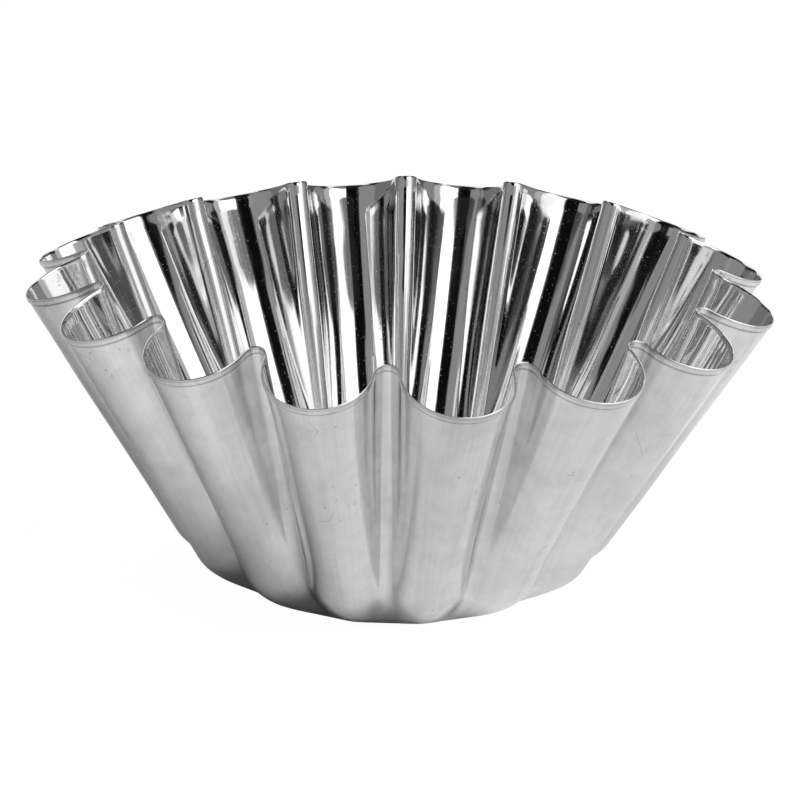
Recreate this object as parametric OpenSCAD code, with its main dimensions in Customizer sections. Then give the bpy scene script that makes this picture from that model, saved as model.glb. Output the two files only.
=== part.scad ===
// Fluted babka mould: one pressed sheet with a flat base, flutes all round and a rim hemmed outwards.
// Origin at the middle of the base's underside, +Z up, a flute's middle on +X and on +Y.

/* [Size] */
// Diameter over the hem, between the middles of two opposite flutes
rim_d = 220; // [200:1:240]
// Height of the rim over a ridge, its highest point
ridge_h = 96; // [86:0.5:110]
// Height of the rim at the middle of a flute, its lowest point
flute_h = 88; // [78:0.5:100]
// Diameter of the flat base
base_d = 96.5; // [88:0.5:100]

/* [Flutes] */
// Flutes round the wall
flute_count = 16; // [14:1:18]
// Depth of a flute at the rim
flute_depth = 18.3; // [14:0.1:20]
// Outside radius of the ridge between two flutes
ridge_r = 3.5; // [2.5:0.1:4.2]

/* [Foot] */
// Radius from the axis to a flute's lower corner
flute_foot_r = 62.8; // [60:0.1:66]
// Height of a flute's lower corner
flute_foot_h = 6.8; // [5:0.1:8]
// How much nearer to the axis a ridge's lower corner is
foot_depth = 3.3; // [2.5:0.1:5]
// Height of a ridge's lower corner
ridge_foot_h = 10; // [8:0.1:12]
// Length up the wall over which a corner is rounded
corner_round = 7; // [3:0.5:10]

/* [Sheet] */
// Thickness of the sheet
sheet_t = 0.3; // [0.3:0.05:0.6]
// Height of the folded hem
hem_h = 2; // [1.9:0.1:3.5]
// Height over which the fold is rounded
fold_h = 1.4; // [1:0.1:1.6]
// Gap inside the fold
hem_gap = 0.1; // [0.05:0.05:0.3]
// Distance of the collar's crease below the rim
collar_h = 4.1; // [4:0.1:8]
// How far the crease stands out from the straight wall
collar_out = 0.2; // [0:0.05:0.4]

/* [Hidden] */
// Steps along half a flute: first on the flute's own arc, then on the ridge's arc
flute_steps = 5;
ridge_steps = 3;
half_steps = flute_steps + ridge_steps;
side_count = 2 * half_steps * flute_count;
// Stations up the wall: 0 to 1 is the foot, 1 to 2 the straight wall, 2 to 3 the collar
wall_stations = [0, 1 / 3, 2 / 3, 1, 1.5, 2, 3];
// Angles across the fold, from the hem's outside to the wall's inside
fold_angles = [30, 65, 115, 150];
fold_r = sheet_t + hem_gap / 2;
pitch = 360 / flute_count;
wall_r = rim_d / 2 - sheet_t;
small = 0.01;

function mix(a, b, t) = a + (b - a) * t;
function unit(v) = v / norm(v);

// Point of half a flute, step s from its middle on +X, where two arcs touch between an outer and an inner radius:
// a wide arc round the flute and a small one round the ridge
function half_outline(s, outer, inner) =
    let (
        ridge_centre = (inner + ridge_r) * [cos(pitch / 2), sin(pitch / 2)],
        reach = outer - ridge_centre.x,
        span = reach * reach + ridge_centre.y * ridge_centre.y - ridge_r * ridge_r,
        flute_r = span / (2 * (reach + ridge_r)),
        flute_centre = outer - flute_r,
        touch_angle = atan2(ridge_centre.y, ridge_centre.x - flute_centre),
        on_flute = touch_angle * s / flute_steps,
        on_ridge = mix(touch_angle + 180, 180 + pitch / 2, (s - flute_steps) / ridge_steps)
    )
    s <= flute_steps
    ? [flute_centre + flute_r * cos(on_flute), flute_r * sin(on_flute)]
    : ridge_centre + ridge_r * [cos(on_ridge), sin(on_ridge)];

// Radius and height of the wall's outside at a station, for a part of the flute's depth
function section(part, station) =
    let (
        base = [base_d / 2, 0],
        corner = [flute_foot_r - foot_depth * (1 - part), mix(ridge_foot_h, flute_foot_h, part)],
        rim = [wall_r - flute_depth * (1 - part), mix(ridge_h, flute_h, part) - fold_r],
        along = unit(rim - corner),
        start = corner + corner_round * along,
        crease = rim - (collar_h - fold_r) * along + collar_out * [along.y, -along.x],
        top = rim - (fold_h - fold_r) * along
    )
    station < 1 ? mix(mix(base, corner, station), mix(corner, start, station), station)
    : station < 2 ? mix(start, crease, station - 1)
    : mix(crease, top, station - 2);

// Turn about the axis and part of the flute's depth, 0 on a ridge and 1 at a flute's middle
function outline(s, station) =
    let (
        level = max(station, 1),
        outer = section(1, level).x,
        inner = section(0, level).x,
        flute = floor((s + half_steps) / (2 * half_steps)),
        own = s - 2 * half_steps * flute,
        p = half_outline(abs(own), outer, inner),
        turn = atan2(p.y, p.x) * (own < 0 ? -1 : 1)
    )
    [turn + flute * pitch, (norm(p) - inner) / (outer - inner)];

// Near the base the flutes fade from their arcs to a plain wave
function wave(turn) = (1 + cos(flute_count * turn)) / 2;

function wall_point(s, station) =
    let (
        o = outline(s, station),
        p = section(mix(wave(o.x), o.y, min(station, 1)), station)
    )
    [p.x * cos(o.x), p.x * sin(o.x), p.y];

function wall_normal(s, station) = unit(cross(
    wall_point(s + small, station) - wall_point(s - small, station),
    wall_point(s, min(station + small, 3)) - wall_point(s, max(station - small, 0))));

// Inside of the sheet: along the normal on the wall, mitred to the floor's thickness at the base
function inner_point(s, station) =
    let (
        p = wall_point(s, station),
        a = outline(s, station).x,
        rise = section(wave(a), 1 / 9) - section(wave(a), 0),
        back = tan(atan2(rise.y, rise.x) / 2)
    )
    station == 0
    ? p + sheet_t * [-back * cos(a), -back * sin(a), 1]
    : p - sheet_t * wall_normal(s, station);

// Hem: across the fold from the wall's outside, down the folded edge, up again and over to the inside
function hem_points(s) =
    let (
        p = wall_point(s, 3),
        out = wall_normal(s, 3),
        up = unit(p - wall_point(s, 3 - small)),
        centre = p + hem_gap / 2 * out,
        edge = -(hem_h - fold_h) * up
    )
    [
        p + hem_gap * out,
        p + hem_gap * out + edge,
        p + (hem_gap + sheet_t) * out + edge,
        p + (hem_gap + sheet_t) * out,
        for (a = fold_angles) centre + fold_r * cos(a) * out + fold_h * sin(a) * up
    ];

// Whole section at one step, from the underside of the base round the hem to the floor
function section_loop(s) = [
    for (v = wall_stations) wall_point(s, v),
    each hem_points(s),
    for (k = [len(wall_stations) - 1:-1:0]) inner_point(s, wall_stations[k])
];

function turned(p, a) = [p.x * cos(a) - p.y * sin(a), p.x * sin(a) + p.y * cos(a), p.z];

// Sheet closed round the axis: one flute's sections, turned for every flute
module pressed_sheet() {
    flute = [for (s = [-half_steps:half_steps - 1]) section_loop(s)];
    rows = len(flute[0]);
    points = [
        for (f = [0:flute_count - 1], loop = flute, p = loop) turned(p, f * pitch)
    ];
    skin = [
        for (i = [0:side_count - 1], j = [0:rows - 2])
            let (
                a = i * rows + j,
                b = (i + 1) % side_count * rows + j,
                rising = i % (2 * half_steps) < half_steps
            )
            each rising ? [[a, a + 1, b + 1], [a, b + 1, b]] : [[a, a + 1, b], [b, a + 1, b + 1]]
    ];
    underside = [for (i = [0:side_count - 1]) i * rows];
    floor_top = [for (i = [side_count - 1:-1:0]) (i + 1) * rows - 1];
    polyhedron(points, concat(skin, [underside, floor_top]), convexity = 20);
}

module mould() {
    color([0.76, 0.77, 0.78]) pressed_sheet();
}

mould();
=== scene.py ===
"""Babka mould: the frame's pressed sheet drawn finely, in bright metal, on a pale floor in studio light."""
import math

import bpy
import numpy as np
from mathutils import Matrix, Vector

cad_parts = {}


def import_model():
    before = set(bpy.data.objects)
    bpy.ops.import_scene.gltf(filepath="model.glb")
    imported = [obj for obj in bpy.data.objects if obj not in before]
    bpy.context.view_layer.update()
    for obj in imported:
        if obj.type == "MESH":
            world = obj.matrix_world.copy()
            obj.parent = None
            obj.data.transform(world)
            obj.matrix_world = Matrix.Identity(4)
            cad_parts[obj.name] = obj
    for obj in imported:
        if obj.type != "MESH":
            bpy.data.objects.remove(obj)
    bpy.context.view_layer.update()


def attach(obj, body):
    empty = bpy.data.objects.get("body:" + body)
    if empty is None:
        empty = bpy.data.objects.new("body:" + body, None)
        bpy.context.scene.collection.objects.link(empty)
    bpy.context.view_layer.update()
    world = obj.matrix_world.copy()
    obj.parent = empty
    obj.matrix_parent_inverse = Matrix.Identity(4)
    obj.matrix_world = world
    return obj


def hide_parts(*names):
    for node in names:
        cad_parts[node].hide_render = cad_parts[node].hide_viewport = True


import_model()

MM = 0.001
TAU = 2 * math.pi

# The mould's sizes, the same as the frame's, in metres
RIM_R = 110 * MM
RIDGE_H = 96 * MM
FLUTE_H = 88 * MM
BASE_R = 48.25 * MM
FLUTES = 16
FLUTE_DEPTH = 18.3 * MM
RIDGE_R = 3.5 * MM
FLUTE_FOOT_R = 62.8 * MM
FLUTE_FOOT_H = 6.8 * MM
FOOT_DEPTH = 3.3 * MM
RIDGE_FOOT_H = 10 * MM
CORNER_ROUND = 7 * MM
SHEET = 0.3 * MM
HEM_H = 2 * MM
FOLD_H = 1.4 * MM
HEM_GAP = 0.1 * MM
COLLAR_H = 4.1 * MM
COLLAR_OUT = 0.2 * MM
FOLD_R = SHEET + HEM_GAP / 2
PITCH = TAU / FLUTES

# Roundings that only the drawn mesh has
BASE_BEND = 1.5 * MM
CREASE_BEND = 0.8 * MM

# The rim's slight warp, as waves round the mould: (waves, along the cosine, along the sine)
RISE_WAVES = [(2, 0.0, 1.08), (3, -0.24, -0.10)]
REACH_WAVES = [(1, 0.71, -0.16), (2, 0.20, -1.49), (3, -0.32, 0.56), (4, 0.51, 0.13)]
TURN_WAVES = [(1, -0.20, 0.37), (2, -0.07, -0.42), (3, -0.26, 0.22), (4, 0.04, -0.44)]

# The sheet's slight unevenness, as waves in all directions: (wave's length, its height), how many of each,
# the height above the base from which they are full, and the seed that draws them
DENT_WAVES = [(40 * MM, 0.05 * MM), (15 * MM, 0.012 * MM)]
DENT_REPEATS = 6
DENT_START = 12 * MM
DENT_SEED = 3

# Painted shade and dirt at the hem, from 0 to 1: full in some rows of the wall under its edge, where it
# paints the edge's contact shade as a dark line, and less on its face and lip
SHADE_AND_GRIME_ROWS = 3
HEM_SHADE_AND_GRIME = 0.12
LIP_SHADE_AND_GRIME = 0.6

# The metal's grey when clean and how strongly a film of smudges dulls it, each inside and outside
CLEAN_GREY = (0.84, 0.86)
FILM_DULLS = (0.02, 0.09)

# What full painted hem shade and dirt, and full marks, take from that grey
SHADE_AND_GRIME_DULLS = 0.4
MARKS_DULL = 0.22

# The metal's roughness from its smoothest place to its roughest, and that of a speck of dust
INSIDE_ROUGHNESS = (0.05, 0.13)
OUTSIDE_ROUGHNESS = (0.15, 0.24)
DUST_ROUGHNESS = 0.3

# The brushing: how fine it is round the mould and up the wall, and its depth and strength
BRUSH_AROUND = 150
BRUSH_UP = 45
BRUSH_DEPTH = 0.004 * MM
BRUSH_STRENGTH = 0.5

# The photograph's view: how far the mould is turned from its frame, and the camera's tilt, roll, distance,
# shift to the right and upwards, and focal length in picture widths
VIEW_TURN = math.radians(11.25 - 1.311)
VIEW_TILT = math.radians(20.215)
VIEW_ROLL = math.radians(-1.185)
VIEW_DISTANCE = 0.8567
VIEW_RIGHT = 0.00125
VIEW_UP = 0.04856
FOCAL_WIDTHS = 3.49

# Studio: the cards' dome; the floor's half size, its grey, the white glow that the camera sees over it and
# the glow's share; and how strongly the surroundings light the rest
CARD_R = 0.6
CARD_STEPS = 25
FLOOR_HALF = 6
FLOOR_GREY = 0.66
FLOOR_GLOW = 1.06
FLOOR_WHITENESS = 0.92
WORLD_LIGHT = 0.05

# Steps of the drawn mesh
FLUTE_STEPS = 18
RIDGE_STEPS = 10
FOOT_ROWS = 14
WALL_ROWS = 18
COLLAR_ROWS = 4
BEND_ROWS = 4
EDGE_STEPS = 5
FOLD_STEPS = 12
SHARP_ANGLE = math.radians(50)


def mix(a, b, t):
    return a + (b - a) * t


def unit(v):
    return v / np.linalg.norm(v, axis=-1, keepdims=True)


def outline(wall_r, crest_r):
    """All round, the turn and the part of the flute's depth: two arcs that touch, mirrored and repeated."""
    middle = (crest_r + RIDGE_R) * np.array([math.cos(PITCH / 2), math.sin(PITCH / 2)])
    reach = wall_r - middle[0]
    flute_r = (reach ** 2 + middle[1] ** 2 - RIDGE_R ** 2) / (2 * (reach + RIDGE_R))
    centre = wall_r - flute_r
    touch = math.atan2(middle[1], middle[0] - centre)
    a = touch * np.arange(FLUTE_STEPS + 1) / FLUTE_STEPS
    b = mix(touch + math.pi, math.pi + PITCH / 2, np.arange(1, RIDGE_STEPS + 1) / RIDGE_STEPS)
    flute = np.stack([centre + flute_r * np.cos(a), flute_r * np.sin(a)], -1)
    ridge = middle + RIDGE_R * np.stack([np.cos(b), np.sin(b)], -1)
    half = np.concatenate([flute, ridge])
    turn = np.arctan2(half[:, 1], half[:, 0])
    part = (np.linalg.norm(half, axis=1) - crest_r) / (wall_r - crest_r)
    turn = np.concatenate([-turn[:0:-1], turn[:-1]])
    part = np.concatenate([part[:0:-1], part[:-1]])
    turns = np.concatenate([turn + k * PITCH for k in range(FLUTES)])
    return turns, np.tile(part, FLUTES)


def section_lines(part):
    """The wall's corners as radius and height: foot, end of its rounding, crease, and top below the fold."""
    corner = np.stack([FLUTE_FOOT_R - FOOT_DEPTH * (1 - part), mix(RIDGE_FOOT_H, FLUTE_FOOT_H, part)], -1)
    rim = np.stack([RIM_R - SHEET - FLUTE_DEPTH * (1 - part), mix(RIDGE_H, FLUTE_H, part) - FOLD_R], -1)
    along = unit(rim - corner)
    start = corner + CORNER_ROUND * along
    crease = rim - (COLLAR_H - FOLD_R) * along + COLLAR_OUT * np.stack([along[:, 1], -along[:, 0]], -1)
    return corner, start, crease, rim - (FOLD_H - FOLD_R) * along


def rounded(a, corner, b, t):
    """A point on the curve that rounds a corner between two points of the section."""
    return mix(mix(a, corner, t), mix(corner, b, t), t)


def wall_at(part, v):
    """A point of the section: v is 0 to 1 up the wall, 1 to 2 over the crease, 2 to 3 up the collar."""
    _, start, crease, top = section_lines(part)
    wall_end = crease + CREASE_BEND * unit(start - crease)
    collar_start = crease + CREASE_BEND * unit(top - crease)
    if v < 1:
        return mix(start, wall_end, v)
    if v < 2:
        return rounded(wall_end, crease, collar_start, v - 1)
    return mix(collar_start, top, v - 2)


def wall_section():
    """The sheet's outside as radius and height with its turn, row by row from under the base to the fold."""
    ridge, flute = wall_at(np.array([0.0, 1.0]), 0)
    turns, part = outline(flute[0], ridge[0])
    wave = (1 + np.cos(FLUTES * turns)) / 2
    flat = np.array([BASE_R, 0.0]) + 0 * wave[:, None]
    rows = []
    for v in np.arange(1, FOOT_ROWS) / FOOT_ROWS:
        corner, start, _, _ = section_lines(mix(wave, part, v))
        rows.append(rounded(flat, corner, start, v))
    edge = [rounded(flat - [BASE_BEND, 0], flat, rows[0], t) for t in np.arange(BEND_ROWS) / BEND_ROWS]
    rows = edge + rows
    all_turns = [turns] * len(rows)
    wall = np.arange(WALL_ROWS) / WALL_ROWS
    crease = 1 + np.arange(BEND_ROWS) / BEND_ROWS
    collar = 2 + np.arange(COLLAR_ROWS + 1) / COLLAR_ROWS
    for v in np.concatenate([wall, crease, collar]):
        ridge, flute = wall_at(np.array([0.0, 1.0]), v)
        turns, part = outline(flute[0], ridge[0])
        rows.append(wall_at(part, v))
        all_turns.append(turns)
    return np.array(rows), np.array(all_turns)


def warped(points):
    """The points of a sheet that isn't quite regular, as its rim rises, reaches and turns unevenly."""
    turn = np.arctan2(points[..., 1], points[..., 0])
    radius = np.hypot(points[..., 0], points[..., 1])
    share = np.maximum(points[..., 2], 0) / (RIDGE_H + FLUTE_H) * 2
    bearing = turn + VIEW_TURN

    def waves(table):
        return sum(c * np.cos(n * bearing) + s * np.sin(n * bearing) for n, c, s in table)

    radius = radius + waves(REACH_WAVES) * MM * share
    rise = waves(RISE_WAVES) * MM * share
    turn = turn + np.radians(waves(TURN_WAVES)) * share
    return np.stack([radius * np.cos(turn), radius * np.sin(turn), points[..., 2] + rise], -1)


def dents(points):
    """How far pressing left the sheet off its true form, along its normal; nothing at the base."""
    chance = np.random.default_rng(DENT_SEED)
    total = 0
    for length, height in DENT_WAVES:
        for _ in range(DENT_REPEATS):
            way = unit(chance.normal(size=3)) * TAU / length
            total = total + height * np.sin(points @ way + chance.uniform(0, TAU))
    return (total * np.clip(points[..., 2] / DENT_START, 0, 1))[..., None]


def hem_rows(top, out, up):
    """The hem from the wall's outside: down its back, round its cut edge, up its face and over the fold."""
    edge = top + (HEM_GAP + SHEET / 2) * out - (HEM_H - FOLD_H - SHEET / 2) * up
    fold = top + HEM_GAP / 2 * out
    rows = [top + HEM_GAP * out]
    for a in np.linspace(math.pi, 2 * math.pi, EDGE_STEPS + 1):
        rows.append(edge + SHEET / 2 * (math.cos(a) * out + math.sin(a) * up))
    for a in np.linspace(0, math.pi, FOLD_STEPS + 1)[:-1]:
        rows.append(fold + FOLD_R * math.cos(a) * out + FOLD_H * math.sin(a) * up)
    return np.array(rows)


def sheet_rows():
    """Every row of the closed sheet: up the outside, round the hem, down the inside."""
    section, turns = wall_section()
    radius, height = section[..., 0], section[..., 1]
    outside = np.stack([radius * np.cos(turns), radius * np.sin(turns), height], -1)
    around = np.roll(outside, -1, 1) - np.roll(outside, 1, 1)
    steps = np.diff(outside, axis=0)
    lengths = np.linalg.norm(steps, axis=-1, keepdims=True)
    slopes = steps / lengths
    upward = slopes[:-1] * lengths[1:] + slopes[1:] * lengths[:-1]
    upward = np.concatenate([slopes[:1], unit(upward), slopes[-1:]])
    normal = unit(np.cross(around, upward))
    outside = outside + dents(outside) * normal
    inside = outside - SHEET * normal
    hem = hem_rows(outside[-1], normal[-1], upward[-1])
    return warped(np.concatenate([outside, hem, inside[::-1]]))


def sheet_faces(count, sides):
    """Quads from row to row, and a fan of triangles to the middle of the base, from below and from above."""
    i, j = np.meshgrid(np.arange(sides), np.arange(count - 1))
    this = j * sides + i
    beside = j * sides + (i + 1) % sides
    quads = np.stack([this, beside, beside + sides, this + sides], -1)
    under = count * sides
    over = under + 1
    last = under - sides
    fans = [(under, (k + 1) % sides, k) for k in range(sides)]
    fans += [(over, last + k, last + (k + 1) % sides) for k in range(sides)]
    return quads.reshape(-1, 4).tolist() + fans


def row_looks(count):
    """For each row, whether it is outside, and how much painted shade and dirt darken it at the hem."""
    wall = (count - EDGE_STEPS - FOLD_STEPS - 2) // 2
    face = wall + EDGE_STEPS + 1
    lip = face + FOLD_STEPS // 4
    outer = np.zeros(count)
    outer[:face + FOLD_STEPS // 2] = 1
    shade_and_grime = np.zeros(count)
    # Painted shade: the wall's rows just under the hem's edge are darkened as a contact shadow line, with
    # some dirt
    shade_and_grime[wall - SHADE_AND_GRIME_ROWS:face] = 1
    shade_and_grime[face:lip] = HEM_SHADE_AND_GRIME
    shade_and_grime[lip:face + FOLD_STEPS // 3 + 1] = LIP_SHADE_AND_GRIME
    return outer, shade_and_grime


def mesh_object(name, points, faces):
    mesh = bpy.data.meshes.new(name)
    mesh.from_pydata(points, [], faces)
    mesh.validate()
    piece = bpy.data.objects.new(name, mesh)
    bpy.context.scene.collection.objects.link(piece)
    return piece


def pressed_sheet():
    """The mould's mesh, with each point's looks for its material."""
    rows = sheet_rows()
    count, sides = rows.shape[:2]
    middles = [(0, 0, 0), (0, 0, SHEET)]
    piece = mesh_object("mould_sheet", rows.reshape(-1, 3).tolist() + middles, sheet_faces(count, sides))
    piece.data.shade_smooth()
    piece.data.set_sharp_from_angle(angle=SHARP_ANGLE)
    outer, shade_and_grime = row_looks(count)
    for name, values, ends in (("outer", outer, [1, 0]), ("shade_and_grime", shade_and_grime, [0, 0])):
        look = piece.data.attributes.new(name, "FLOAT", "POINT")
        look.data.foreach_set("value", np.concatenate([np.repeat(values, sides), ends]))
    return piece


def new_material(name):
    mat = bpy.data.materials.new(name)
    mat.use_nodes = True
    return mat, mat.node_tree


def feed(tree, socket, value):
    """Links another node's output to the socket, or sets the socket's own value."""
    if isinstance(value, bpy.types.NodeSocket):
        tree.links.new(value, socket)
    else:
        socket.default_value = value


def feed_all(tree, node, given):
    for name, value in given.items():
        feed(tree, node.inputs[name], value)


def worked_out(tree, kind, operation, values):
    made = tree.nodes.new(kind)
    made.operation = operation
    for socket, value in zip(made.inputs, values):
        feed(tree, socket, value)
    return made.outputs[0]


def maths(tree, operation, *values):
    return worked_out(tree, "ShaderNodeMath", operation, values)


def vector(tree, operation, *values):
    return worked_out(tree, "ShaderNodeVectorMath", operation, values)


def added(tree, value, *others):
    for other in others:
        value = maths(tree, "ADD", value, other)
    return value


def ramp(tree, value, start, end, low, high):
    """Goes softly from low to high as the value goes from start to end."""
    made = tree.nodes.new("ShaderNodeMapRange")
    made.interpolation_type = "SMOOTHSTEP"
    given = {"Value": value, "From Min": start, "From Max": end, "To Min": low, "To Max": high}
    feed_all(tree, made, given)
    return made.outputs[0]


def noise(tree, place, scale, detail, distortion=0):
    """Soft noise whose scale is in waves a metre, or in waves a unit of the coordinates given."""
    made = tree.nodes.new("ShaderNodeTexNoise")
    feed_all(tree, made, {"Vector": place, "Scale": scale, "Detail": detail, "Distortion": distortion})
    return made.outputs["Fac"]


def specks(tree, place, scale, size, share):
    """Small round specks in some of a pattern's cells; their size is a share of a cell's."""
    cells = tree.nodes.new("ShaderNodeTexVoronoi")
    feed_all(tree, cells, {"Vector": place, "Scale": scale})
    spot = ramp(tree, cells.outputs["Distance"], size / 2, size, 1, 0)
    return maths(tree, "MULTIPLY", spot, maths(tree, "LESS_THAN", cells.outputs["Color"], share))


def attribute(tree, name):
    made = tree.nodes.new("ShaderNodeAttribute")
    made.attribute_name = name
    return made.outputs["Fac"]


def up_the_wall(tree, place):
    """Coordinates that draw a pattern out into lines up the flutes."""
    bearing = vector(tree, "NORMALIZE", vector(tree, "MULTIPLY", place, (1, 1, 0)))
    around = vector(tree, "MULTIPLY", bearing, (BRUSH_AROUND, BRUSH_AROUND, 0))
    return vector(tree, "ADD", around, vector(tree, "MULTIPLY", place, (0, 0, BRUSH_UP)))


def hairlines(tree, place):
    """Long curved hairline scratches, few and broken: the contour lines of a soft noise."""
    off_line = maths(tree, "ABSOLUTE", maths(tree, "SUBTRACT", noise(tree, place, 17, 1, 0.4), 0.52))
    line = ramp(tree, off_line, 0.0002, 0.0009, 1, 0)
    return maths(tree, "MULTIPLY", line, ramp(tree, noise(tree, place, 60, 2), 0.54, 0.6, 0, 1))


def marks(tree, place):
    """Scratches, pits, and scuffs in clusters."""
    pits = specks(tree, place, 130, 0.07, 0.4)
    clusters = ramp(tree, noise(tree, place, 55, 2), 0.56, 0.64, 0, 1)
    scuffs = maths(tree, "MULTIPLY", specks(tree, place, 420, 0.25, 0.5), clusters)
    return maths(tree, "MAXIMUM", hairlines(tree, place), maths(tree, "MAXIMUM", pits, scuffs))


def lightness(tree, place, along, brushed, smudge, outer):
    """The metal's grey: dulled a little by smudges, streaks and mottling, and more by the hem's painted
    shade and dirt and by marks.
    """
    streak = ramp(tree, noise(tree, along, 0.07, 4, 0.5), 0.4, 0.7, 0, 1)
    mottle = ramp(tree, noise(tree, place, 220, 4, 0.4), 0.35, 0.7, 0, 0.7)
    lines = ramp(tree, brushed, 0.35, 0.7, 0, 0.5)
    film = added(tree, smudge, streak, mottle, lines)
    film = maths(tree, "MULTIPLY", film, ramp(tree, outer, 0, 1, *FILM_DULLS))
    # The hem's painted shade and dirt take grey from the metal here
    hem_shade_and_dirt = maths(tree, "MULTIPLY", attribute(tree, "shade_and_grime"), SHADE_AND_GRIME_DULLS)
    worn = maths(tree, "MULTIPLY", marks(tree, place), MARKS_DULL)
    clean = ramp(tree, outer, 0, 1, *CLEAN_GREY)
    return maths(tree, "SUBTRACT", clean, added(tree, film, hem_shade_and_dirt, worn))


def roughness(tree, place, brushed, smudge, outer):
    """Nearly a mirror inside, apart from the brushing and specks of dust, and softer outside."""
    dust = maths(tree, "MULTIPLY", specks(tree, place, 1100, 0.3, 0.3), DUST_ROUGHNESS)
    inside = maths(tree, "MAXIMUM", ramp(tree, brushed, 0.35, 0.7, *INSIDE_ROUGHNESS), dust)
    outside = ramp(tree, smudge, 0, 1, *OUTSIDE_ROUGHNESS)
    return ramp(tree, outer, 0, 1, inside, outside)


def metal():
    """Bright tinned sheet, brushed up the flutes, worn, and duller outside than inside."""
    mat, tree = new_material("bright_sheet")
    place = tree.nodes.new("ShaderNodeTexCoord").outputs["Object"]
    along = up_the_wall(tree, place)
    outer = attribute(tree, "outer")
    brushed = noise(tree, along, 1, 3)
    smudge = ramp(tree, noise(tree, place, 30, 5, 0.8), 0.42, 0.7, 0, 1)
    bump = tree.nodes.new("ShaderNodeBump")
    feed_all(tree, bump, {"Strength": BRUSH_STRENGTH, "Distance": BRUSH_DEPTH, "Height": brushed})
    feed_all(tree, tree.nodes["Principled BSDF"], {
        "Base Color": lightness(tree, place, along, brushed, smudge, outer),
        "Metallic": 1,
        "Roughness": roughness(tree, place, brushed, smudge, outer),
        "Normal": bump.outputs[0],
    })
    return mat


def camera():
    """The photograph's view, found by fitting the rim, the ridges and the outline."""
    data = bpy.data.cameras.new("camera")
    data.sensor_width = 36
    data.lens = FOCAL_WIDTHS * data.sensor_width
    cam = bpy.data.objects.new("camera", data)
    back = Vector((0, -math.cos(VIEW_TILT), math.sin(VIEW_TILT)))
    right = Vector((1, 0, 0))
    up = back.cross(right)
    place = back * VIEW_DISTANCE + right * VIEW_RIGHT + up * VIEW_UP
    facing = Matrix((right, up, back)).transposed() @ Matrix.Rotation(-VIEW_ROLL, 3, "Z")
    cam.matrix_world = Matrix.Rotation(-VIEW_TURN, 4, "Z") @ Matrix.Translation(place) @ facing.to_4x4()
    bpy.context.scene.collection.objects.link(cam)
    bpy.context.scene.camera = cam


def seen_by(tree, *rays):
    """One where the ray is of one of the named kinds, such as Is Camera Ray."""
    path = tree.nodes.new("ShaderNodeLightPath")
    seen = path.outputs[rays[0]]
    for ray in rays[1:]:
        seen = maths(tree, "MAXIMUM", seen, path.outputs[ray])
    return seen


def mixed(tree, share, first, second):
    """The first shader where the share is 0, the second where it is 1."""
    made = tree.nodes.new("ShaderNodeMixShader")
    for socket, output in zip(made.inputs, (share, first, second)):
        tree.links.new(output, socket)
    return made.outputs[0]


def glow(tree, strength):
    made = tree.nodes.new("ShaderNodeEmission")
    feed_all(tree, made, {"Color": (1, 1, 1, 1), "Strength": strength})
    return made.outputs[0]


def floor():
    """Pale floor: the camera sees it nearly white with a faint shadow, the metal sees it as it is lit."""
    corners = [(x * FLOOR_HALF, y * FLOOR_HALF, 0) for x, y in ((-1, -1), (1, -1), (1, 1), (-1, 1))]
    plane = mesh_object("floor", corners, [(0, 1, 2, 3)])
    mat, tree = new_material("floor_white")
    lit = tree.nodes["Principled BSDF"]
    grey = (FLOOR_GREY, FLOOR_GREY, FLOOR_GREY, 1)
    feed_all(tree, lit, {"Base Color": grey, "Roughness": 1, "Specular IOR Level": 0})
    share = maths(tree, "MULTIPLY", seen_by(tree, "Is Camera Ray"), FLOOR_WHITENESS)
    both = mixed(tree, share, lit.outputs[0], glow(tree, FLOOR_GLOW))
    tree.links.new(both, tree.nodes["Material Output"].inputs["Surface"])
    plane.data.materials.append(mat)


def card(name, bearings, elevations, level):
    """A card on a dome round the mould, seen in the metal alone.

    Bearings and elevations are in degrees, and bearing 0 is the camera's side.
    """
    b = np.radians(np.linspace(*bearings, CARD_STEPS) - 90) - VIEW_TURN
    e = np.radians(np.linspace(*elevations, CARD_STEPS))[:, None]
    grid = np.stack([np.cos(e) * np.cos(b), np.cos(e) * np.sin(b), np.sin(e) + 0 * b], -1)
    i, j = np.meshgrid(np.arange(CARD_STEPS - 1), np.arange(CARD_STEPS - 1))
    k = j * CARD_STEPS + i
    faces = np.stack([k, k + 1, k + CARD_STEPS + 1, k + CARD_STEPS], -1).reshape(-1, 4)
    piece = mesh_object(name, (CARD_R * grid).reshape(-1, 3).tolist(), faces.tolist())
    mat, tree = new_material(name)
    tree.links.new(glow(tree, level), tree.nodes["Material Output"].inputs["Surface"])
    piece.data.materials.append(mat)
    piece.visible_camera = False
    piece.visible_diffuse = False
    piece.visible_shadow = False


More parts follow.
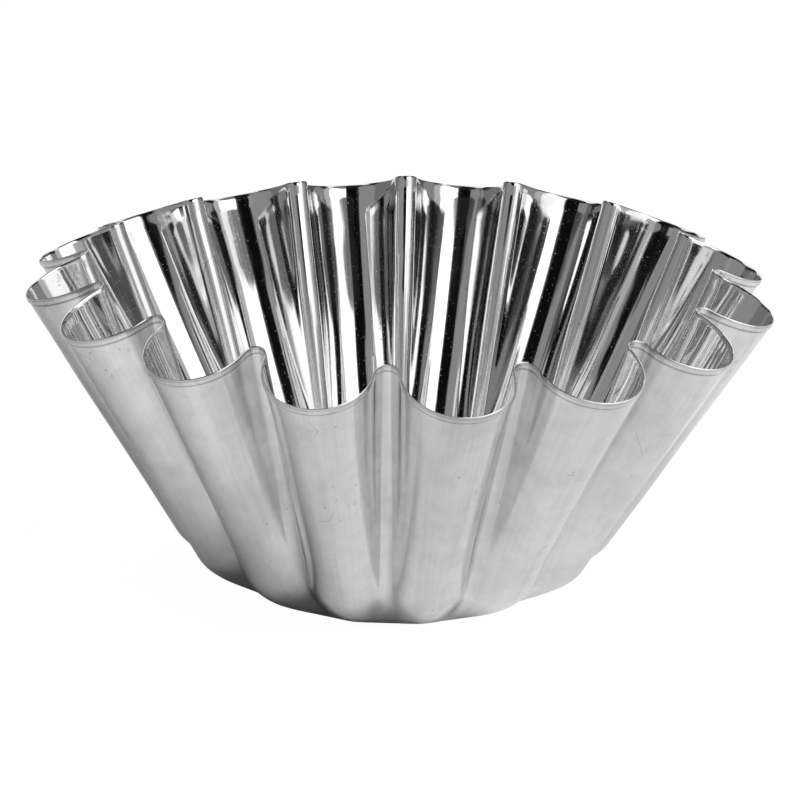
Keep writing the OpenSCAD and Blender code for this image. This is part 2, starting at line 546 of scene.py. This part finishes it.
def cards():
    """The studio round the mould: a bright softbox to the right, black flags and grey cards elsewhere."""
    card("softbox", (12, 60), (30, 51), 1.7)
    card("softbox_right", (60, 76), (30, 48), 1.5)
    card("softbox_skirt", (30, 72), (0, 30), 1.15)
    card("softbox_edge", (8, 30), (0, 30), 0.45)
    card("softbox_side", (8, 12), (30, 52), 0.2)
    card("flag_black", (-30, 8), (31, 52), 0.004)
    card("flag_black_left", (-42, -30), (38, 52), 0.004)
    card("flag_black_skirt", (-30, 8), (0, 31), 0.26)
    card("card_grey", (-76, -42), (0, 47), 0.28)
    card("card_grey_left", (-90, -76), (0, 35), 0.28)
    card("card_grey_dark", (-90, -76), (35, 47), 0.13)
    card("card_grey_right", (-42, -30), (0, 40), 0.33)
    card("card_grey_top", (-90, -42), (47, 52), 0.07)
    card("flag_left", (-150, -90), (30, 48), 0.02)
    card("card_left", (-150, -90), (0, 30), 0.18)
    card("card_right", (76, 94), (0, 46), 0.5)
    card("flag_right", (94, 130), (32, 50), 0.02)
    card("flag_right_skirt", (94, 130), (0, 32), 0.26)
    card("flag_far_right", (130, 165), (0, 36), 0.1)
    card("card_far_right", (130, 165), (36, 50), 0.4)
    card("ceiling_left", (-80, 10), (52, 90), 0.015)
    card("ceiling_right", (10, 85), (52, 90), 0.18)


def lamp(name, bearing, elevation, distance, size, power):
    """A soft round lamp aimed at the mould, which lights the floor but doesn't show in the metal.

    Bearing and elevation are in degrees, distance and size in metres, power in watts.
    """
    b = math.radians(bearing - 90) - VIEW_TURN
    e = math.radians(elevation)
    place = distance * Vector((math.cos(b) * math.cos(e), math.sin(b) * math.cos(e), math.sin(e)))
    data = bpy.data.lights.new(name, "AREA")
    data.shape = "DISK"
    data.size = size
    data.energy = power
    piece = bpy.data.objects.new(name, data)
    piece.location = place
    piece.rotation_euler = place.to_track_quat("Z", "Y").to_euler()
    piece.visible_glossy = False
    bpy.context.scene.collection.objects.link(piece)


def lamps():
    lamp("key", 50, 40, 2.2, 1.2, 41)
    lamp("side", 100, 7, 2.2, 1.2, 126)
    lamp("rear", -140, 50, 2.0, 1.0, 18)


def world():
    """White where it is seen, directly or in the metal, and faint as a light."""
    surroundings = bpy.data.worlds.new("studio")
    surroundings.use_nodes = True
    tree = surroundings.node_tree
    soft = tree.nodes["Background"]
    feed_all(tree, soft, {"Color": (1, 1, 1, 1), "Strength": WORLD_LIGHT})
    white = tree.nodes.new("ShaderNodeBackground")
    feed_all(tree, white, {"Color": (1, 1, 1, 1), "Strength": 1})
    seen = seen_by(tree, "Is Camera Ray", "Is Glossy Ray", "Is Transmission Ray")
    both = mixed(tree, seen, soft.outputs[0], white.outputs[0])
    tree.links.new(both, tree.nodes["World Output"].inputs["Surface"])
    bpy.context.scene.world = surroundings


sheet = pressed_sheet()
sheet.data.materials.append(metal())
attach(sheet, "root")
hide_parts("mould")
camera()
floor()
cards()
lamps()
world()
bpy.context.scene.view_settings.view_transform = "Standard"
